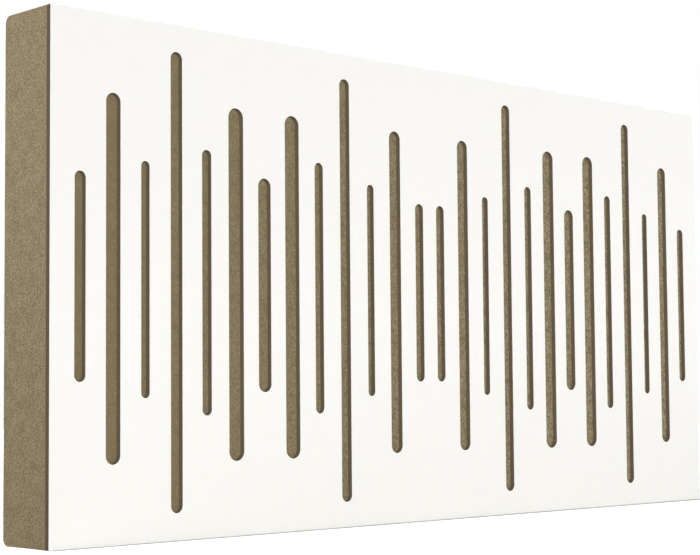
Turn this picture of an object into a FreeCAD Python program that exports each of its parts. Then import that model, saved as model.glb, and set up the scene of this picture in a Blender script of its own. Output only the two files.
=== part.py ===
# Wooden acoustic absorber panel: a white-faced fibreboard with 26 upright sound slots,
# bonded to the front of a thick porous absorber block.
#
# All sizes are in millimetres. X runs along the length, Y from the white face to the
# back, and Z up. The origin lies under the middle of the panel, on the surface that
# the panel stands on. The white face looks towards -Y.
import FreeCAD, Part
import os

from FreeCAD import Vector

# Panel outline
PANEL_LENGTH = 1200.0
PANEL_HEIGHT = 600.0

# Thickness of each layer, from the white face to the back
FACING_THICK = 0.2
BOARD_THICK = 6.8
ABSORBER_THICK = 84.0

# Edges
EDGE_BREAK = 0.1         # bevel on every edge of the white face, round it and in its slots
ABSORBER_RADIUS = 9.0    # rounding of the absorber's two long back edges

# Slot layout: two equal banks side by side, each mirrored about its own middle slot
BORDER = 40.0            # nearest that the centre line of a slot comes to any edge
BANK_SPACING = 40.0      # between the centre lines of the two slots that meet mid-panel

# Slot widths, each the diameter of its cutter, from the end of a bank to its middle
END_WIDTH = 15.0
BROAD_WIDTH = 20.0
FINE_WIDTH = 12.0
TALL_WIDTH = 17.0
SLIM_WIDTH = 14.0
WIDE_WIDTH = 23.0
MIDDLE_WIDTH = 20.0

# Slot insets, each from a long edge of the panel to the centre of the slot's round end
END_INSET = 190.0
BROAD_INSET = 100.0
FINE_INSET = 170.0
SLIM_INSET = 150.0
WIDE_INSET = 100.0
MIDDLE_INSET = 180.0

# One bank as (width, inset) pairs: its outer half, its middle slot and the mirrored half
OUTER_HALF = (
    (END_WIDTH, END_INSET),
    (BROAD_WIDTH, BROAD_INSET),
    (FINE_WIDTH, FINE_INSET),
    (TALL_WIDTH, BORDER),
    (SLIM_WIDTH, SLIM_INSET),
    (WIDE_WIDTH, WIDE_INSET),
)
BANK = OUTER_HALF + ((MIDDLE_WIDTH, MIDDLE_INSET),) + OUTER_HALF[::-1]

# Worked out from the values above
SLOT_PITCH = (PANEL_LENGTH - 2 * BORDER - BANK_SPACING) / (2 * (len(BANK) - 1))
PANEL_DEPTH = FACING_THICK + BOARD_THICK + ABSORBER_THICK
FACE_Y = -PANEL_DEPTH / 2
BOARD_Y = FACE_Y + FACING_THICK
ABSORBER_Y = BOARD_Y + BOARD_THICK
BACK_Y = ABSORBER_Y + ABSORBER_THICK

OUTPUT_FOLDER = "parts"


def slot_positions():
    """Gives (x, width, inset) for every slot, the left bank first."""
    slots = []
    for side in (-1, 1):
        for index, (width, inset) in enumerate(BANK):
            from_end = BORDER + index * SLOT_PITCH
            x = side * (PANEL_LENGTH / 2 - from_end)
            slots.append((x, width, inset))
    return slots


def slot_outline(x, width, inset, y):
    """Gives the closed outline of a round-ended upright slot in the plane at y."""
    radius = width / 2
    low = inset
    high = PANEL_HEIGHT - inset
    left_low = Vector(x - radius, y, low)
    left_high = Vector(x - radius, y, high)
    right_low = Vector(x + radius, y, low)
    right_high = Vector(x + radius, y, high)
    top = Part.Arc(left_high, Vector(x, y, high + radius), right_high)
    bottom = Part.Arc(right_low, Vector(x, y, low - radius), left_low)
    return Part.Wire([
        Part.LineSegment(left_low, left_high).toShape(),
        top.toShape(),
        Part.LineSegment(right_high, right_low).toShape(),
        bottom.toShape(),
    ])


def panel_outline(y):
    """Gives the rectangular outline of the panel in the plane at y."""
    half = PANEL_LENGTH / 2
    corners = [
        Vector(-half, y, 0),
        Vector(half, y, 0),
        Vector(half, y, PANEL_HEIGHT),
        Vector(-half, y, PANEL_HEIGHT),
    ]
    return Part.makePolygon(corners + corners[:1])


def slotted_sheet(y, thickness):
    """Gives a sheet of the panel's outline, cut right through by every slot."""
    outlines = [panel_outline(y)]
    for x, width, inset in slot_positions():
        outlines.append(slot_outline(x, width, inset, y))
    face = Part.Face(outlines, "Part::FaceMakerBullseye")
    return face.extrude(Vector(0, thickness, 0))


def foremost_face(solid):
    """Gives the flat face of a solid that lies furthest to the front."""
    return min(solid.Faces, key=lambda face: face.CenterOfMass.y)


def white_facing():
    """The thin white laminate on the front of the board, with its edges just broken."""
    sheet = slotted_sheet(FACE_Y, FACING_THICK)
    return sheet.makeChamfer(EDGE_BREAK, foremost_face(sheet).Edges)


def front_board():
    """The brown fibreboard that carries the facing, with the same slots."""
    return slotted_sheet(BOARD_Y, BOARD_THICK)


def absorber_block():
    """The porous block behind the board, with its two long back edges rounded."""
    radius = ABSORBER_RADIUS
    front = ABSORBER_Y
    back = BACK_Y
    top = PANEL_HEIGHT
    end = -PANEL_LENGTH / 2
    shift = radius * (1 - 0.5 ** 0.5)
    low_arc = Part.Arc(
        Vector(end, back - radius, 0),
        Vector(end, back - shift, shift),
        Vector(end, back, radius),
    )
    high_arc = Part.Arc(
        Vector(end, back, top - radius),
        Vector(end, back - shift, top - shift),
        Vector(end, back - radius, top),
    )
    section = Part.Wire([
        Part.LineSegment(Vector(end, front, 0), Vector(end, back - radius, 0)).toShape(),
        low_arc.toShape(),
        Part.LineSegment(Vector(end, back, radius), Vector(end, back, top - radius)).toShape(),
        high_arc.toShape(),
        Part.LineSegment(Vector(end, back - radius, top), Vector(end, front, top)).toShape(),
        Part.LineSegment(Vector(end, front, top), Vector(end, front, 0)).toShape(),
    ])
    return Part.Face(section).extrude(Vector(PANEL_LENGTH, 0, 0))


SUB_PARTS = {
    "white_facing": white_facing,
    "front_board": front_board,
    "absorber_block": absorber_block,
}


def main():
    """Builds each sub-part and writes it to a file of its own."""
    os.makedirs(OUTPUT_FOLDER, exist_ok=True)
    for name, build in SUB_PARTS.items():
        shape = build()
        shape.exportStep(os.path.join(OUTPUT_FOLDER, name + ".step"))
        box = shape.BoundBox
        print(name, "valid", shape.isValid(), "solids", len(shape.Solids),
              "volume %.0f" % shape.Volume,
              "box %.2f %.2f %.2f" % (box.XLength, box.YLength, box.ZLength))


main()
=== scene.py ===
import math

import bmesh
import bpy
from bpy.props import FloatProperty, FloatVectorProperty, IntProperty, PointerProperty
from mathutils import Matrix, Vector, noise


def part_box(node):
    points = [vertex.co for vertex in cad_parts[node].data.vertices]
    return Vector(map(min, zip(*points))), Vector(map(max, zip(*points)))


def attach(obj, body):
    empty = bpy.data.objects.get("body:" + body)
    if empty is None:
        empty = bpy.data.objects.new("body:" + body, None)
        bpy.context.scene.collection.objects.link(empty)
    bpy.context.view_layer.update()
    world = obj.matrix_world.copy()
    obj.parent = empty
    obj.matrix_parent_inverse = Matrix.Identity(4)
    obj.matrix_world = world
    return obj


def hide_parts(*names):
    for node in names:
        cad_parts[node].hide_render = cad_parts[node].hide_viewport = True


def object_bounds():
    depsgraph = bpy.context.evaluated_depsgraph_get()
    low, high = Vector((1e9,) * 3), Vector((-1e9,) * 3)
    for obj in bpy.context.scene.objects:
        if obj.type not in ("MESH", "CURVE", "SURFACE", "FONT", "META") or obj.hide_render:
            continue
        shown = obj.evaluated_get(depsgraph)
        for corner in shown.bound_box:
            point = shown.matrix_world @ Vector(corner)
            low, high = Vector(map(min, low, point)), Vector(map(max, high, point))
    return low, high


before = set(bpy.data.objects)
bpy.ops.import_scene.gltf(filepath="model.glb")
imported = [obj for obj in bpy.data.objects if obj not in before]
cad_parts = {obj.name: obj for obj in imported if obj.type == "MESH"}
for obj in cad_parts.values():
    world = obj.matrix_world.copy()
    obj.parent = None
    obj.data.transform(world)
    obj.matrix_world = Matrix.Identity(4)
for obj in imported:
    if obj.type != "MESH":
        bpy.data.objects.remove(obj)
cad_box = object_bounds()

bl_info = {
    "name": "Acoustic absorber panel",
    "version": (1, 0, 0),
    "blender": (4, 5, 0),
    "location": "View3D > Sidebar > Acoustic Panel",
    "description": "Makes a slotted acoustic panel, its finishes and its studio",
    "category": "Add Mesh",
}

MM = 0.001
CORNER_LOW, CORNER_HIGH = cad_box
PANEL_LENGTH = CORNER_HIGH.x - CORNER_LOW.x
PANEL_HEIGHT = CORNER_HIGH.z - CORNER_LOW.z

# Meshes
SHARP_TURN = 1.0                      # least turn of a sharp edge, in radians
FRONT_SHARE = 0.75                    # where in its depth a sheet's front starts
MERGE_DISTANCE = 0.005 * MM           # closes the seams of a sheet
SHEET_SMOOTHING = math.radians(20)    # most turn that is shaded smooth, on a sheet
FELT_SMOOTHING = math.radians(50)     # and on the felt block
ON_A_FACE = 0.01 * MM                 # how near to a face of the block counts as on it
ROUNDING_STEPS = 5                    # flat steps in each half of a rounded back edge
WIDE_SCALE, WIDE_SHARE = 28, 0.45     # the felt's broad hollows: scale and strength
FINE_SCALE, FINE_SHARE = 95, 0.35     # and its fine ones
FINE_SHIFT = Vector((7, 3, 5))        # sets the fine hollows apart from the broad ones
HOLLOW_FADE = 6 * MM                  # depth from which the hollows are at their full

# The felt's look: on its front face at the left end and the right end, and elsewhere
LOOSENESS = (0.15, 1.35, 0.85)
# the next row is painted light and shade: the felt's front darker left, lighter right
PAINTED_LIGHTING = (0.93, 1.07, 1.0)
LINT = (0.0, 1.0, 0.0)
FRONT_FACE = (0.3 * MM, 2 * MM)       # depths between which that look changes over
DARK_STOP, DARK_SHARE = 0.175, 0.4    # the felt's deepest tone: its place and strength
FIBRE_TURNS = ((0.3, 0.5, 0.2), (1.4, 0.2, 1.1), (0.7, 1.6, 2.3))
FIBRE_STRETCH = (1, 1, 0.12)
BOARD_EDGE = 1 * MM                   # band of painted shade round the board's outside

# Studio
FLOOR_REACH = 6.0
FLOOR_COLOR = (0.65, 0.65, 0.65, 1)
SHADOW_COLOR = (0.38, 0.38, 0.38, 1)
SHADOW_FADE = (3 * MM, 16 * MM)       # where the contact shadow starts to fade and ends
FACE_SCALES = (0.92, 0.55)            # for distances from the face's foot, end to end
BACK_SCALE = 0.3                      # for distances from the foot of the back
FACE_INSET, BACK_INSET = 10 * MM, 50 * MM    # from a corner to where each foot ends
LAMP_SIZE = 0.5
SENSOR_WIDTH = 36                     # in millimetres, like the lens

# Broad lights: name, place from the panel's middle, setting, and width in degrees
BROAD_LIGHTS = (
    ("key_light", (-1.6, -2.75, 0.2), "key", 12),
    ("top_light", (0, 0, 3.0), "top", 2),
    ("rear_light", (1.6, 2.8, 0.8), "rear", 12),
)

# Lamps: name, place, aim, setting, and spread in degrees
LAMPS = (
    ("side_light", (-1.2, 0.2, 1.15), (CORNER_LOW.x, 0, 0.38), "side", 50),
    ("fill_light", (1.5, -0.9, 0.5), (CORNER_HIGH.x, 0, 0.3), "fill", 120),
)


# Sizes and colours that a user may change

class PanelShape(bpy.types.PropertyGroup):
    """Sizes of the slots and edges"""

    border: FloatProperty(
        name="Border", description="Nearest that a slot's centre line comes to an edge",
        default=40 * MM, unit="LENGTH")
    bank_spacing: FloatProperty(
        name="Bank spacing", description="Between the two slots that meet mid-panel",
        default=40 * MM, unit="LENGTH")
    slot_widths: FloatVectorProperty(
        name="Slot widths", description="From the end of a bank of slots to its middle",
        size=7, default=[w * MM for w in (15, 20, 12, 17, 14, 23, 20)], unit="LENGTH")
    slot_insets: FloatVectorProperty(
        name="Slot insets",
        description="From a long edge to the centre of a slot's round end", size=7,
        default=[i * MM for i in (190, 100, 170, 40, 150, 100, 180)], unit="LENGTH")
    slot_steps: IntProperty(
        name="Slot steps", description="Flat steps round the two ends of a slot",
        default=56, min=8)
    edge_break: FloatProperty(
        name="Edge break", description="Bevel on every edge of the white face",
        default=0.1 * MM, unit="LENGTH")
    felt_radius: FloatProperty(
        name="Felt radius", description="Rounding of the felt block's long back edges",
        default=9 * MM, unit="LENGTH")
    felt_edge: FloatProperty(
        name="Felt edge", description="Softening of the felt block's cut ends",
        default=0.8 * MM, unit="LENGTH")
    felt_step: FloatProperty(
        name="Felt step", description="Spacing of the felt block's mesh",
        default=5.5 * MM, unit="LENGTH")
    felt_sink: FloatProperty(
        name="Felt sink", description="Deepest hollow of the uneven felt surface",
        default=0.25 * MM, unit="LENGTH")


class PanelFinish(bpy.types.PropertyGroup):
    """Colours of the three materials"""

    facing: FloatVectorProperty(
        name="Facing", description="White laminate", subtype="COLOR", size=4,
        default=(0.91, 0.9, 0.865, 1))
    # painted light: the slot walls get a lighter copy of the fibreboard against their
    # shade
    slot_painted_light: FloatVectorProperty(
        name="Slot board, painted light", description="Fibreboard in the slots, painted lighter",
        subtype="COLOR", size=4, default=(0.167, 0.129, 0.08, 1))
    # painted shade: the outside edge gets a darker copy of the same fibreboard
    edge_painted_shade: FloatVectorProperty(
        name="Edge board, painted shade", description="Fibreboard round the panel's outside edge",
        subtype="COLOR", size=4, default=(0.1, 0.066, 0.039, 1))
    felt: FloatVectorProperty(
        name="Felt", description="Middle tone of the felt", subtype="COLOR", size=4,
        default=(0.226, 0.178, 0.093, 1))
    pale_felt: FloatVectorProperty(
        name="Pale felt", description="Lightest fibres of the felt", subtype="COLOR",
        size=4, default=(0.43, 0.356, 0.235, 1))
    dark_felt: FloatVectorProperty(
        name="Dark felt", description="Darkest fibres of the felt", subtype="COLOR",
        size=4, default=(0.09, 0.063, 0.024, 1))
    lint: FloatVectorProperty(
        name="Lint", description="Loose ends of fibre that lie in the slots",
        subtype="COLOR", size=4, default=(0.46, 0.42, 0.34, 1))


class StudioSetup(bpy.types.PropertyGroup):
    """Camera and lights"""

    camera_place: FloatVectorProperty(
        name="Camera place", description="Where the camera stands",
        subtype="TRANSLATION", unit="LENGTH", default=(-1.6698, -1.6496, 0.1672))
    camera_turn: FloatVectorProperty(
        name="Camera turn", description="The camera's turn about X, Y and Z",
        subtype="EULER", unit="ROTATION",
        default=[math.radians(turn) for turn in (93.817, 0.455, -43.475)])
    lens: FloatProperty(
        name="Lens", description="Focal length in millimetres", default=89.59,
        unit="CAMERA")
    sky: FloatProperty(
        name="Sky", description="Strength of the even light from all round",
        default=0.21)
    key: FloatProperty(
        name="Key light",
        description="Watts a square metre of the broad light in front", default=2.58)
    top: FloatProperty(
        name="Top light",
        description="Watts a square metre of the broad light overhead", default=1.36)
    rear: FloatProperty(
        name="Rear light",
        description="Watts a square metre of the broad light behind", default=1.25)
    side: FloatProperty(
        name="Side light", description="Power of the soft lamp above the left end",
        default=0.65, unit="POWER")
    fill: FloatProperty(
        name="Fill light", description="Power of the soft lamp off the right end",
        default=0.2, unit="POWER")
    floor_glow: FloatProperty(
        name="Floor glow", description="How much whiter the floor looks than it is lit",
        default=0.65)


# Node helpers

def set_socket(tree, socket, value):
    """Links a socket to another, or sets it to a plain value."""
    if isinstance(value, bpy.types.NodeSocket):
        tree.links.new(value, socket)
    else:
        socket.default_value = value


def add_node(tree, kind, inputs=None, **settings):
    """Adds a node, sets its properties, and sets or links its inputs by name."""
    node = tree.nodes.new(kind)
    for name, value in settings.items():
        setattr(node, name, value)
    for name, value in (inputs or {}).items():
        set_socket(tree, node.inputs[name], value)
    return node


def add_math(tree, operation, first, second=0.0):
    """Adds a Math node and gives its output."""
    node = add_node(tree, "ShaderNodeMath", {0: first, 1: second},
                    operation=operation)
    return node.outputs["Value"]


def add_socket(tree, direction, kind, name, default=None):
    """Adds a named socket to the outside of a node group."""
    socket = tree.interface.new_socket(name, in_out=direction, socket_type=kind)
    if default is not None:
        socket.default_value = default


# Slots

def slot_list(shape):
    """Gives (x, width, inset) for every slot, in two banks that are each symmetric."""
    kinds = list(zip(shape.slot_widths, shape.slot_insets))
    bank = kinds + kinds[-2::-1]
    banks_length = PANEL_LENGTH - 2 * shape.border - shape.bank_spacing
    pitch = banks_length / (2 * (len(bank) - 1))
    slots = []
    for side in (-1, 1):
        for index, (width, inset) in enumerate(bank):
            x = side * (PANEL_LENGTH / 2 - shape.border - index * pitch)
            slots.append((x, width, inset))
    return slots


def slot_points(shape):
    """Makes a mesh with one point mid-slot for each slot, holding the slot's size."""
    slots = slot_list(shape)
    mesh = bpy.data.meshes.new("slot_points")
    mesh.from_pydata([(x, PANEL_HEIGHT / 2, 0) for x, _, _ in slots], [], [])
    widths = mesh.attributes.new("slot_width", "FLOAT", "POINT")
    travels = mesh.attributes.new("slot_travel", "FLOAT", "POINT")
    for index, (_, width, inset) in enumerate(slots):
        widths.data[index].value = width
        travels.data[index].value = PANEL_HEIGHT - 2 * inset
    return mesh


def slot_curves(tree, points, steps):
    """Adds the nodes that turn each point into a slot's outline, lying flat."""
    circle = add_node(tree, "GeometryNodeCurvePrimitiveCircle",
                      {"Resolution": steps, "Radius": 1.0})
    half_step = add_math(tree, "DIVIDE", math.pi, steps)
    turn = add_node(tree, "ShaderNodeCombineXYZ", {"Z": half_step})
    turned = add_node(tree, "GeometryNodeTransform",
                      {"Geometry": circle.outputs["Curve"],
                       "Rotation": turn.outputs[0]})
    capture = add_node(tree, "GeometryNodeCaptureAttribute",
                       {"Geometry": turned.outputs["Geometry"]})
    capture.capture_items.new("VECTOR", "Unit")
    position = add_node(tree, "GeometryNodeInputPosition")
    tree.links.new(position.outputs[0], capture.inputs["Unit"])
    placed = add_node(tree, "GeometryNodeInstanceOnPoints",
                      {"Points": points, "Instance": capture.outputs["Geometry"]})
    real = add_node(tree, "GeometryNodeRealizeInstances",
                    {"Geometry": placed.outputs["Instances"]})
    width = add_node(tree, "GeometryNodeInputNamedAttribute", {"Name": "slot_width"},
                     data_type="FLOAT")
    travel = add_node(tree, "GeometryNodeInputNamedAttribute", {"Name": "slot_travel"},
                      data_type="FLOAT")
    unit = add_node(tree, "ShaderNodeSeparateXYZ", {0: capture.outputs["Unit"]})
    radius = add_math(tree, "MULTIPLY", width.outputs["Attribute"], 0.5)
    shrink = add_math(tree, "SUBTRACT", radius, 1.0)
    across = add_math(tree, "MULTIPLY", unit.outputs["X"], shrink)
    along = add_math(tree, "MULTIPLY", unit.outputs["Y"], shrink)
    end = add_math(tree, "SIGN", unit.outputs["Y"])
    half_travel = add_math(tree, "MULTIPLY", travel.outputs["Attribute"], 0.5)
    reach = add_math(tree, "MULTIPLY", end, half_travel)
    offset = add_node(tree, "ShaderNodeCombineXYZ",
                      {"X": across, "Y": add_math(tree, "ADD", along, reach)})
    shaped = add_node(tree, "GeometryNodeSetPosition",
                      {"Geometry": real.outputs["Geometry"],
                       "Offset": offset.outputs[0]})
    return shaped.outputs["Geometry"]


def bevel_weights(tree, sheet, thickness):
    """Adds the nodes that mark the sheet's sharp front edges for the bevel."""
    angle = add_node(tree, "GeometryNodeInputMeshEdgeAngle").outputs["Unsigned Angle"]
    sharp = add_math(tree, "GREATER_THAN", angle, SHARP_TURN)
    place = add_node(tree, "ShaderNodeSeparateXYZ",
                     {0: add_node(tree, "GeometryNodeInputPosition").outputs[0]})
    front = add_math(tree, "GREATER_THAN", place.outputs["Z"],
                     add_math(tree, "MULTIPLY", thickness, FRONT_SHARE))
    chosen = add_math(tree, "MULTIPLY", sharp, front)
    stored = add_node(tree, "GeometryNodeStoreNamedAttribute",
                      {"Geometry": sheet, "Name": "bevel_weight_edge", "Value": chosen},
                      data_type="FLOAT", domain="EDGE")
    return stored.outputs["Geometry"]


def slotted_sheet_tree():
    """Builds the tree that makes a standing sheet, cut through by every slot."""
    tree = bpy.data.node_groups.new("Slotted sheet", "GeometryNodeTree")
    add_socket(tree, "INPUT", "NodeSocketGeometry", "Slot Points")
    for name in ("Length", "Height", "Thickness", "Back"):
        add_socket(tree, "INPUT", "NodeSocketFloat", name, 0.0)
    add_socket(tree, "INPUT", "NodeSocketInt", "Slot Steps", 32)
    add_socket(tree, "INPUT", "NodeSocketMaterial", "Material")
    add_socket(tree, "OUTPUT", "NodeSocketGeometry", "Sheet")
    given = add_node(tree, "NodeGroupInput").outputs
    middle = add_math(tree, "MULTIPLY", given["Height"], 0.5)
    outline = add_node(tree, "GeometryNodeCurvePrimitiveQuadrilateral",
                       {"Width": given["Length"], "Height": given["Height"]})
    shift = add_node(tree, "ShaderNodeCombineXYZ", {"Y": middle})
    raised = add_node(tree, "GeometryNodeTransform",
                      {"Geometry": outline.outputs["Curve"],
                       "Translation": shift.outputs[0]})
    outlines = add_node(tree, "GeometryNodeJoinGeometry")
    tree.links.new(slot_curves(tree, given["Slot Points"], given["Slot Steps"]),
                   outlines.inputs[0])
    tree.links.new(raised.outputs["Geometry"], outlines.inputs[0])
    filled = add_node(tree, "GeometryNodeFillCurve", {"Curve": outlines.outputs[0]},
                      mode="TRIANGLES")
    pushed = add_node(tree, "GeometryNodeExtrudeMesh",
                      {"Mesh": filled.outputs["Mesh"], "Individual": False,
                       "Offset Scale": given["Thickness"]}, mode="FACES")
    backs = add_node(tree, "GeometryNodeFlipFaces", {"Mesh": filled.outputs["Mesh"]})
    both = add_node(tree, "GeometryNodeJoinGeometry")
    tree.links.new(backs.outputs["Mesh"], both.inputs[0])
    tree.links.new(pushed.outputs["Mesh"], both.inputs[0])
    closed = add_node(tree, "GeometryNodeMergeByDistance",
                      {"Geometry": both.outputs[0], "Distance": MERGE_DISTANCE})
    weighted = bevel_weights(tree, closed.outputs["Geometry"], given["Thickness"])
    place = add_node(tree, "ShaderNodeCombineXYZ", {"Y": given["Back"]})
    upright = add_node(tree, "GeometryNodeTransform",
                       {"Geometry": weighted, "Translation": place.outputs[0],
                        "Rotation": (math.pi / 2, 0, 0)})
    real = add_node(tree, "GeometryNodeRealizeInstances",
                    {"Geometry": upright.outputs["Geometry"]})
    painted = add_node(tree, "GeometryNodeSetMaterial",
                       {"Geometry": real.outputs["Geometry"],
                        "Material": given["Material"]})
    out = add_node(tree, "NodeGroupOutput")
    tree.links.new(painted.outputs["Geometry"], out.inputs["Sheet"])
    return tree


def slotted_sheet(name, node, shape, material, bevel):
    """Makes one slotted sheet in the place of a CAD node, as a plain mesh object."""
    tree = bpy.data.node_groups.get("Slotted sheet") or slotted_sheet_tree()
    low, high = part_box(node)
    values = {
        "Length": high.x - low.x,
        "Height": high.z - low.z,
        "Thickness": high.y - low.y,
        "Back": high.y,
        "Slot Steps": shape.slot_steps,
        "Material": material,
    }
    maker = bpy.data.objects.new(name + "_maker", slot_points(shape))
    bpy.context.collection.objects.link(maker)
    cutter = maker.modifiers.new("Slots", "NODES")
    cutter.node_group = tree
    for item in tree.interface.items_tree:
        if item.in_out == "INPUT" and item.name in values:
            cutter[item.identifier] = values[item.name]
    if bevel:
        easing = maker.modifiers.new("Edges", "BEVEL")
        easing.limit_method = "WEIGHT"
        easing.width = bevel
        easing.use_clamp_overlap = False
    return plain_copy(maker, name)


def plain_copy(maker, name):
    """Turns an object with modifiers into a plain mesh object, and removes the first.

    The round ends of the slots are shaded smooth, and the flat faces flat.
    """
    graph = bpy.context.evaluated_depsgraph_get()
    mesh = bpy.data.meshes.new_from_object(maker.evaluated_get(graph))
    mesh.name = name
    bpy.data.objects.remove(maker)
    mesh.set_sharp_from_angle(angle=SHEET_SMOOTHING)
    for polygon in mesh.polygons:
        polygon.use_smooth = abs(polygon.normal.y) < 0.5
    piece = bpy.data.objects.new(name, mesh)
    bpy.context.collection.objects.link(piece)
    return piece


# The felt block

def even_steps(low, high, step):
    """Gives evenly spaced places from low to high, no further apart than step."""
    count = max(1, math.ceil((high - low) / step))
    return [low + (high - low) * index / count for index in range(count + 1)]


def curve_steps(centre, radius, side):
    """Gives places on a square edge that bend onto an arc in steps of equal angle."""
    return [centre + side * radius * math.tan(math.pi / 4 * index / ROUNDING_STEPS)
            for index in range(1, ROUNDING_STEPS + 1)]


def block_shell(xs, ys, zs):
    """Makes the closed surface of a box, divided at the given places."""
    shell = bmesh.new()
    places = {}

    def corner(i, j, k):
        if (i, j, k) not in places:
            places[i, j, k] = shell.verts.new((xs[i], ys[j], zs[k]))
        return places[i, j, k]

    last = (len(xs) - 1, len(ys) - 1, len(zs) - 1)
    for axis in range(3):
        first, second = (axis + 1) % 3, (axis + 2) % 3
        for end in (0, last[axis]):
            for a in range(last[first]):
                for b in range(last[second]):
                    ring = ((a, b), (a + 1, b), (a + 1, b + 1), (a, b + 1))
                    keys = []
                    for u, v in ring if end else ring[::-1]:
                        key = [0, 0, 0]
                        key[axis], key[first], key[second] = end, u, v
                        keys.append(key)
                    shell.faces.new([corner(*key) for key in keys])
    return shell


def round_back_edges(shell, radius, back, low, high):
    """Bends the square back corners of the section onto arcs."""
    centre_y = back - radius
    for vert in shell.verts:
        centre_z = min(max(vert.co.z, low + radius), high - radius)
        across = max(0.0, vert.co.y - centre_y)
        along = vert.co.z - centre_z
        reach = math.hypot(across, along)
        if across > 0 and abs(along) > 0:
            share = max(across, abs(along)) / reach
            vert.co.y = centre_y + across * share
            vert.co.z = centre_z + along * share


def felt_mesh(node, shape):
    """Makes the felt block: rounded back edges, softened ends, an uneven surface."""
    low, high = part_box(node)
    radius = shape.felt_radius
    xs = even_steps(low.x, high.x, shape.felt_step)
    ys = even_steps(low.y, high.y - radius, shape.felt_step)
    ys += curve_steps(high.y - radius, radius, 1)
    zs = curve_steps(low.z + radius, radius, -1)[::-1]
    zs += even_steps(low.z + radius, high.z - radius, shape.felt_step)
    zs += curve_steps(high.z - radius, radius, 1)
    shell = block_shell(xs, ys, zs)
    ends = []
    for edge in shell.edges:
        turn = edge.calc_face_angle(0)
        middle = (edge.verts[0].co + edge.verts[1].co) / 2
        at_end = min(middle.x - low.x, high.x - middle.x) < ON_A_FACE
        if turn > SHARP_TURN and at_end and middle.y > low.y + ON_A_FACE:
            ends.append(edge)
    round_back_edges(shell, radius, high.y, low.z, high.z)
    bmesh.ops.bevel(shell, geom=ends, offset=shape.felt_edge, segments=2, profile=0.5,
                    affect="EDGES", clamp_overlap=True)
    shell.normal_update()
    hollows = []
    for vert in shell.verts:
        wide = noise.noise(vert.co * WIDE_SCALE)
        fine = noise.noise(vert.co * FINE_SCALE + FINE_SHIFT)
        share = min(1.0, max(0.0, 0.5 + WIDE_SHARE * wide + FINE_SHARE * fine))
        fade = min(1.0, max(0.0, (vert.co.y - low.y) / HOLLOW_FADE))
        hollows.append((vert, share * fade * shape.felt_sink))
    for vert, depth in hollows:
        vert.co -= vert.normal * depth
    mesh = bpy.data.meshes.new("felt_block")
    shell.to_mesh(mesh)
    shell.free()
    return mesh


# Shared effects

def mottle_group():
    """A soft change of tone: noise spread between two values."""
    tree = bpy.data.node_groups.new("Mottle", "ShaderNodeTree")
    add_socket(tree, "INPUT", "NodeSocketVector", "Vector")
    for name, default in (("Scale", 10.0), ("Low", 0.9), ("High", 1.1)):
        add_socket(tree, "INPUT", "NodeSocketFloat", name, default)
    add_socket(tree, "OUTPUT", "NodeSocketFloat", "Value")
    given = add_node(tree, "NodeGroupInput").outputs
    cloud = add_node(tree, "ShaderNodeTexNoise",
                     {"Vector": given["Vector"], "Scale": given["Scale"], "Detail": 3.0,
                      "Roughness": 0.55})
    spread = add_node(tree, "ShaderNodeMapRange",
                      {"Value": cloud.outputs["Fac"], "From Min": 0.3, "From Max": 0.7,
                       "To Min": given["Low"], "To Max": given["High"]})
    out = add_node(tree, "NodeGroupOutput")
    tree.links.new(spread.outputs[0], out.inputs["Value"])
    return tree


def fibre_group():
    """Short fibres lying in several directions: streaks of stretched noise."""
    tree = bpy.data.node_groups.new("Fibres", "ShaderNodeTree")
    add_socket(tree, "INPUT", "NodeSocketVector", "Vector")
    add_socket(tree, "INPUT", "NodeSocketFloat", "Fineness", 1500.0)
    add_socket(tree, "OUTPUT", "NodeSocketFloat", "Value")
    given = add_node(tree, "NodeGroupInput").outputs
    top = None
    for turn in FIBRE_TURNS:
        laid = add_node(tree, "ShaderNodeMapping",
                        {"Vector": given["Vector"], "Rotation": turn,
                         "Scale": FIBRE_STRETCH})
        streak = add_node(tree, "ShaderNodeTexNoise",
                          {"Vector": laid.outputs[0], "Scale": given["Fineness"],
                           "Detail": 1.0, "Roughness": 0.5})
        value = streak.outputs["Fac"]
        top = value if top is None else add_math(tree, "MAXIMUM", top, value)
    spread = add_node(tree, "ShaderNodeMapRange",
                      {"Value": top, "From Min": 0.45, "From Max": 0.8})
    out = add_node(tree, "NodeGroupOutput")
    tree.links.new(spread.outputs[0], out.inputs["Value"])
    return tree


def speck_group():
    """Scattered specks: the middles of some cells of a cell pattern."""
    tree = bpy.data.node_groups.new("Specks", "ShaderNodeTree")
    add_socket(tree, "INPUT", "NodeSocketVector", "Vector")
    for name, default in (("Scale", 400.0), ("Size", 0.3), ("Share", 0.2)):
        add_socket(tree, "INPUT", "NodeSocketFloat", name, default)
    add_socket(tree, "OUTPUT", "NodeSocketFloat", "Mask")
    given = add_node(tree, "NodeGroupInput").outputs
    cells = add_node(tree, "ShaderNodeTexVoronoi",
                     {"Vector": given["Vector"], "Scale": given["Scale"]})
    chance = add_node(tree, "ShaderNodeSeparateColor", {0: cells.outputs["Color"]})
    chosen = add_math(tree, "LESS_THAN", chance.outputs[0], given["Share"])
    near = add_node(tree, "ShaderNodeMapRange",
                    {"Value": cells.outputs["Distance"], "From Min": 0.0,
                     "From Max": given["Size"], "To Min": 1.0, "To Max": 0.0})
    mask = add_math(tree, "MULTIPLY", chosen, near.outputs[0])
    out = add_node(tree, "NodeGroupOutput")
    tree.links.new(mask, out.inputs["Mask"])
    return tree


def shared(name, make):
    """Gives a shared node group, built the first time it is asked for."""
    return bpy.data.node_groups.get(name) or make()


def add_effect(tree, name, make, **inputs):
    """Places a shared effect in a material."""
    node = add_node(tree, "ShaderNodeGroup", node_tree=shared(name, make))
    for key, value in inputs.items():
        set_socket(tree, node.inputs[key.title()], value)
    return node.outputs[0]


# Materials

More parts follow.
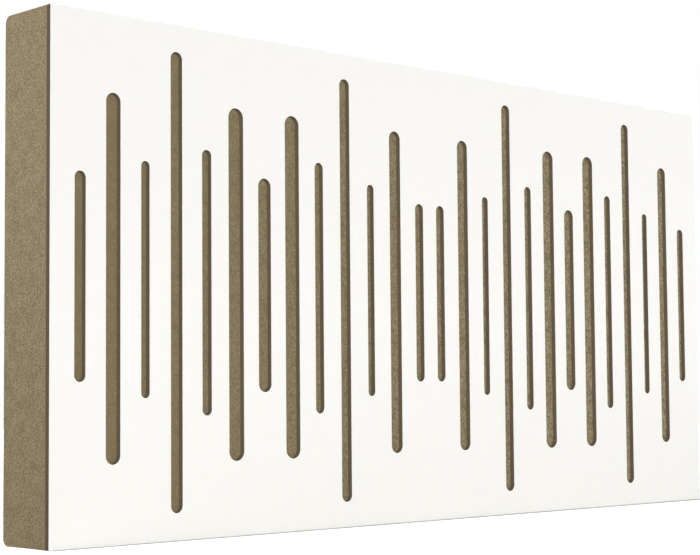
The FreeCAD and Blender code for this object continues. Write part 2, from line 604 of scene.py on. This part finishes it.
def new_material(name, roughness):
    """Makes a material with one plain shader, and gives it with its tree and shader."""
    material = bpy.data.materials.new(name)
    material.use_nodes = True
    tree = material.node_tree
    tree.nodes.clear()
    shader = add_node(tree, "ShaderNodeBsdfPrincipled", {"Roughness": roughness})
    add_node(tree, "ShaderNodeOutputMaterial", {"Surface": shader.outputs["BSDF"]})
    return material, tree, shader


def object_place(tree):
    """Gives the place on the object, in metres."""
    return add_node(tree, "ShaderNodeTexCoord").outputs["Object"]


def scaled_color(tree, color, factor):
    """Multiplies a colour by a factor."""
    node = add_node(tree, "ShaderNodeMix", data_type="RGBA", blend_type="MULTIPLY")
    node.inputs["Factor"].default_value = 1.0
    set_socket(tree, node.inputs["A"], color)
    set_socket(tree, node.inputs["B"], factor)
    return node.outputs["Result"]


def mixed_color(tree, first, second, factor):
    """Mixes two colours by a factor."""
    node = add_node(tree, "ShaderNodeMix", data_type="RGBA")
    for name, value in (("A", first), ("B", second), ("Factor", factor)):
        socket = [s for s in node.inputs if s.name == name and s.enabled][0]
        set_socket(tree, socket, value)
    return node.outputs["Result"]


def add_bump(tree, shader, height, distance):
    """Bumps a shader's surface by a height, of which 1 is as much as the distance."""
    bump = add_node(tree, "ShaderNodeBump",
                    {"Height": height, "Distance": distance, "Strength": 1.0})
    tree.links.new(bump.outputs["Normal"], shader.inputs["Normal"])


def facing_material(finish):
    """White laminate: smooth, with a faint change of tone and a fine orange peel."""
    material, tree, shader = new_material("white_laminate", roughness=0.42)
    place = object_place(tree)
    tone = add_effect(tree, "Mottle", mottle_group, vector=place, scale=60.0,
                      low=0.995, high=1.005)
    tree.links.new(scaled_color(tree, finish.facing, tone), shader.inputs["Base Color"])
    peel = add_effect(tree, "Mottle", mottle_group, vector=place, scale=420.0,
                      low=0.0, high=1.0)
    add_bump(tree, shader, peel, 0.01 * MM)
    return material


def outside_mask(tree, place):
    """Gives 1 round the panel's outside edge, and 0 in its slots."""
    where = add_node(tree, "ShaderNodeSeparateXYZ", {0: place})
    end = add_math(tree, "ABSOLUTE", where.outputs["X"])
    at_end = add_math(tree, "GREATER_THAN", end, PANEL_LENGTH / 2 - BOARD_EDGE)
    middle = add_math(tree, "SUBTRACT", where.outputs["Z"], PANEL_HEIGHT / 2)
    side = add_math(tree, "ABSOLUTE", middle)
    at_side = add_math(tree, "GREATER_THAN", side, PANEL_HEIGHT / 2 - BOARD_EDGE)
    return add_math(tree, "MAXIMUM", at_end, at_side)


def board_material(finish):
    """Bare fibreboard: dark brown, with fine pressed fibres.

    It is painted lighter in the slots and darker round the outside edge:
    painted light and painted shade on one board.
    """
    material, tree, shader = new_material("brown_fibreboard", roughness=0.8)
    place = object_place(tree)
    tone = add_effect(tree, "Mottle", mottle_group, vector=place, scale=25.0,
                      low=0.95, high=1.05)
    fibres = add_effect(tree, "Fibres", fibre_group, vector=place, fineness=2200.0)
    grain = add_node(tree, "ShaderNodeMapRange",
                     {"Value": fibres, "To Min": 0.85, "To Max": 1.25})
    factor = add_math(tree, "MULTIPLY", tone, grain.outputs[0])
    # lighter and darker copies of one fibreboard: painted light in the slots, shade
    # outside
    color = mixed_color(tree, finish.slot_painted_light, finish.edge_painted_shade, outside_mask(tree, place))
    tree.links.new(scaled_color(tree, color, factor), shader.inputs["Base Color"])
    add_bump(tree, shader, fibres, 0.05 * MM)
    return material


def felt_masks(tree, place):
    """Gives how loose the felt is, its painted light and shade, and its lint.

    Its front face, where the board presses and the slots lie, changes from end to end.
    There its tone is darker at the left end and lighter at the right end:
    painted shade and painted light.
    """
    where = add_node(tree, "ShaderNodeSeparateXYZ", {0: place})
    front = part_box("absorber_block")[0].y
    start, end = [front + depth for depth in FRONT_FACE]

    def mask(left, right, behind):
        ahead = add_node(tree, "ShaderNodeMapRange",
                         {"Value": where.outputs["X"], "From Min": CORNER_LOW.x,
                          "From Max": CORNER_HIGH.x, "To Min": left, "To Max": right})
        all_over = add_node(tree, "ShaderNodeMapRange",
                            {"Value": where.outputs["Y"], "From Min": start,
                             "From Max": end, "To Min": ahead.outputs[0],
                             "To Max": behind})
        return all_over.outputs[0]

    return mask(*LOOSENESS), mask(*PAINTED_LIGHTING), mask(*LINT)


def felt_tones(tree, finish, tone):
    """Gives the felt's colour for a tone: black at 0, middling at 1, palest at 2."""
    half = add_math(tree, "MULTIPLY", tone, 0.5)
    ramp = add_node(tree, "ShaderNodeValToRGB", {"Fac": half})
    stops = ramp.color_ramp.elements
    stops[0].color = (0, 0, 0, 1)
    stops[1].color = finish.pale_felt
    deepest = [channel * DARK_SHARE for channel in finish.dark_felt[:3]]
    stops.new(DARK_STOP).color = deepest + [1]
    stops.new(0.5).color = finish.felt
    return ramp.outputs["Color"]


def felt_material(finish):
    """Felt: matted fibres with light and dark specks, and a soft nap."""
    material, tree, shader = new_material("brown_felt", roughness=0.95)
    shader.inputs["Sheen Weight"].default_value = 0.18
    shader.inputs["Sheen Roughness"].default_value = 0.6
    shader.inputs["Sheen Tint"].default_value = (0.85, 0.74, 0.54, 1)
    shader.inputs["Specular IOR Level"].default_value = 0.2
    place = object_place(tree)
    wide = add_effect(tree, "Mottle", mottle_group, vector=place, scale=60.0,
                      low=0.85, high=1.15)
    clumps = add_effect(tree, "Mottle", mottle_group, vector=place, scale=300.0,
                        low=0.7, high=1.3)
    grain = add_effect(tree, "Mottle", mottle_group, vector=place, scale=1000.0,
                       low=0.35, high=1.65)
    fibres = add_effect(tree, "Fibres", fibre_group, vector=place, fineness=1500.0)
    streaks = add_node(tree, "ShaderNodeMapRange",
                       {"Value": fibres, "To Min": 0.9, "To Max": 1.2}).outputs[0]
    tone = add_math(tree, "MULTIPLY", wide, clumps)
    tone = add_math(tree, "MULTIPLY", tone, grain)
    tone = add_math(tree, "MULTIPLY", tone, streaks)
    loose, painted_lighting, linted = felt_masks(tree, place)
    spread = add_math(tree, "MULTIPLY", add_math(tree, "SUBTRACT", tone, 1.0), loose)
    # the tone is lowered and raised by painted shade and light across the front face
    color = felt_tones(tree, finish, add_math(tree, "ADD", spread, painted_lighting))
    light = add_effect(tree, "Specks", speck_group, vector=place, scale=760.0, size=0.5,
                       share=0.2)
    dark = add_effect(tree, "Specks", speck_group, vector=place, scale=640.0, size=0.5,
                      share=0.22)
    lint = add_effect(tree, "Specks", speck_group, vector=place, scale=340.0, size=0.65,
                      share=0.35)
    for specks, mask, speck_color in ((light, loose, finish.pale_felt),
                                      (dark, loose, finish.dark_felt),
                                      (lint, linted, finish.lint)):
        shown = add_math(tree, "MULTIPLY", specks, mask)
        color = mixed_color(tree, color, speck_color, shown)
    tree.links.new(color, shader.inputs["Base Color"])
    height = add_math(tree, "ADD", add_math(tree, "MULTIPLY", grain, 0.6), fibres)
    add_bump(tree, shader, height, 0.25 * MM)
    return material


# Operators

class ACOUSTIC_OT_front_board(bpy.types.Operator):
    """Makes the brown fibreboard with its slots"""

    bl_idname = "acoustic.front_board"
    bl_label = "Front board"

    def execute(self, context):
        scene = context.scene
        material = board_material(scene.panel_finish)
        piece = slotted_sheet("slotted_board", "front_board", scene.panel_shape,
                              material, bevel=0.0)
        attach(piece, "root")
        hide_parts("front_board")
        return {"FINISHED"}


class ACOUSTIC_OT_white_facing(bpy.types.Operator):
    """Makes the white laminate on the front of the board"""

    bl_idname = "acoustic.white_facing"
    bl_label = "White facing"

    def execute(self, context):
        scene = context.scene
        shape = scene.panel_shape
        material = facing_material(scene.panel_finish)
        piece = slotted_sheet("laminate_face", "white_facing", shape, material,
                              bevel=shape.edge_break)
        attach(piece, "root")
        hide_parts("white_facing")
        return {"FINISHED"}


class ACOUSTIC_OT_felt_block(bpy.types.Operator):
    """Makes the thick felt block behind the board"""

    bl_idname = "acoustic.felt_block"
    bl_label = "Felt block"

    def execute(self, context):
        scene = context.scene
        mesh = felt_mesh("absorber_block", scene.panel_shape)
        mesh.polygons.foreach_set("use_smooth", [True] * len(mesh.polygons))
        mesh.set_sharp_from_angle(angle=FELT_SMOOTHING)
        mesh.materials.append(felt_material(scene.panel_finish))
        piece = bpy.data.objects.new("felt_block", mesh)
        context.collection.objects.link(piece)
        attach(piece, "root")
        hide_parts("absorber_block")
        return {"FINISHED"}


class ACOUSTIC_OT_studio(bpy.types.Operator):
    """Makes the white studio: floor, lights and camera"""

    bl_idname = "acoustic.studio"
    bl_label = "Studio"

    def execute(self, context):
        setup = context.scene.studio_setup
        make_floor(setup.floor_glow)
        make_sky(setup.sky)
        make_lights(setup)
        make_camera(setup)
        context.scene.view_settings.view_transform = "Standard"
        return {"FINISHED"}


def distance_from_foot(tree):
    """Gives how far a place on the floor lies from the foot of the face or the back.

    The distance is scaled down towards the right end of the face, and more so at the
    back, which gives a wider shadow there. Each foot is taken to end before the corners.
    """
    place = add_node(tree, "ShaderNodeSeparateXYZ", {0: object_place(tree)})
    along = add_math(tree, "ABSOLUTE", place.outputs["X"])

    def distance(edge, scale, inset):
        across = add_math(tree, "SUBTRACT", place.outputs["Y"], edge)
        across = add_math(tree, "MULTIPLY", add_math(tree, "ABSOLUTE", across), scale)
        return add_math(tree, "MAXIMUM", across,
                        add_math(tree, "SUBTRACT", along, PANEL_LENGTH / 2 - inset))

    widening = add_node(tree, "ShaderNodeMapRange",
                        {"Value": place.outputs["X"], "From Min": CORNER_LOW.x,
                         "From Max": CORNER_HIGH.x, "To Min": FACE_SCALES[0],
                         "To Max": FACE_SCALES[1]})
    ahead = distance(CORNER_LOW.y, widening.outputs[0], FACE_INSET)
    behind = distance(CORNER_HIGH.y, BACK_SCALE, BACK_INSET)
    return add_math(tree, "MINIMUM", ahead, behind)


def make_floor(glow):
    """Makes the pale floor, as one wide flat sheet that the camera sees as white."""
    mesh = bpy.data.meshes.new("floor")
    corners = [(x * FLOOR_REACH, y * FLOOR_REACH, 0)
               for x, y in ((-1, -1), (1, -1), (1, 1), (-1, 1))]
    mesh.from_pydata(corners, [], [(0, 1, 2, 3)])
    material, tree, shader = new_material("white_floor", roughness=0.9)
    shader.inputs["Emission Strength"].default_value = glow
    seen = add_node(tree, "ShaderNodeLightPath").outputs["Is Camera Ray"]
    near = add_node(tree, "ShaderNodeMapRange",
                    {"Value": distance_from_foot(tree), "From Min": SHADOW_FADE[0],
                     "From Max": SHADOW_FADE[1], "To Min": 1.0, "To Max": 0.0},
                    interpolation_type="SMOOTHSTEP").outputs[0]
    shade = add_math(tree, "MULTIPLY", seen, near)
    color = mixed_color(tree, FLOOR_COLOR, SHADOW_COLOR, shade)
    tree.links.new(color, shader.inputs["Base Color"])
    glowing = add_math(tree, "SUBTRACT", seen, shade)
    tree.links.new(glowing, shader.inputs["Emission Color"])
    mesh.materials.append(material)
    floor = bpy.data.objects.new("studio_floor", mesh)
    bpy.context.collection.objects.link(floor)


def make_sky(strength):
    """Lights the studio evenly, and shows pure white behind the panel."""
    world = bpy.data.worlds.new("studio")
    bpy.context.scene.world = world
    world.use_nodes = True
    tree = world.node_tree
    tree.nodes.clear()
    path = add_node(tree, "ShaderNodeLightPath")
    seen = add_node(tree, "ShaderNodeMapRange",
                    {"Value": path.outputs["Is Camera Ray"], "To Min": strength,
                     "To Max": 1.0})
    sky = add_node(tree, "ShaderNodeBackground",
                   {"Color": (1, 1, 1, 1), "Strength": seen.outputs[0]})
    add_node(tree, "ShaderNodeOutputWorld", {"Surface": sky.outputs[0]})


def make_lamp(name, kind, place, aim, energy):
    """Hangs a lamp at a place, turned towards its aim, and gives its light."""
    light = bpy.data.lights.new(name, kind)
    light.energy = energy
    lamp = bpy.data.objects.new(name, light)
    bpy.context.collection.objects.link(lamp)
    lamp.location = place
    direction = Vector(aim) - Vector(place)
    lamp.rotation_euler = direction.to_track_quat("-Z", "Y").to_euler()
    return light


def make_lights(setup):
    """Sets broad lights in front, overhead and behind, and a soft lamp at each end."""
    middle = Vector((0, 0, PANEL_HEIGHT / 2))
    for name, place, setting, angle in BROAD_LIGHTS:
        light = make_lamp(name, "SUN", middle + Vector(place), middle,
                          getattr(setup, setting))
        light.angle = math.radians(angle)
    for name, place, aim, setting, spread in LAMPS:
        light = make_lamp(name, "AREA", place, aim, getattr(setup, setting))
        light.shape = "DISK"
        light.size = LAMP_SIZE
        light.spread = math.radians(spread)


def make_camera(setup):
    """Stands the camera where the photograph was taken from."""
    data = bpy.data.cameras.new("camera")
    data.sensor_width = SENSOR_WIDTH
    data.lens = setup.lens
    camera = bpy.data.objects.new("camera", data)
    camera.location = setup.camera_place
    camera.rotation_euler = setup.camera_turn
    bpy.context.collection.objects.link(camera)
    bpy.context.scene.camera = camera


class ACOUSTIC_PT_sidebar(bpy.types.Panel):
    """Lists the sizes, the colours and the operators"""

    bl_idname = "ACOUSTIC_PT_sidebar"
    bl_label = "Acoustic panel"
    bl_space_type = "VIEW_3D"
    bl_region_type = "UI"
    bl_category = "Acoustic Panel"

    def draw(self, context):
        scene = context.scene
        for group in (scene.panel_shape, scene.panel_finish, scene.studio_setup):
            column = self.layout.column()
            for name in group.bl_rna.properties.keys():
                if name not in ("rna_type", "name"):
                    column.prop(group, name)
        for operator in OPERATORS:
            self.layout.operator(operator.bl_idname)


GROUPS = (PanelShape, PanelFinish, StudioSetup)
OPERATORS = (ACOUSTIC_OT_front_board, ACOUSTIC_OT_white_facing, ACOUSTIC_OT_felt_block,
             ACOUSTIC_OT_studio)


def register():
    """Registers every class, and hangs the settings on the scene."""
    for group in GROUPS + OPERATORS + (ACOUSTIC_PT_sidebar,):
        bpy.utils.register_class(group)
    bpy.types.Scene.panel_shape = PointerProperty(type=PanelShape)
    bpy.types.Scene.panel_finish = PointerProperty(type=PanelFinish)
    bpy.types.Scene.studio_setup = PointerProperty(type=StudioSetup)


def unregister():
    """Takes the settings and every class away again."""
    del bpy.types.Scene.studio_setup
    del bpy.types.Scene.panel_finish
    del bpy.types.Scene.panel_shape
    for group in reversed(GROUPS + OPERATORS + (ACOUSTIC_PT_sidebar,)):
        bpy.utils.unregister_class(group)


def main():
    """Makes every piece and the studio."""
    register()
    bpy.ops.acoustic.front_board()
    bpy.ops.acoustic.white_facing()
    bpy.ops.acoustic.felt_block()
    bpy.ops.acoustic.studio()


if __name__ == "__main__":
    main()
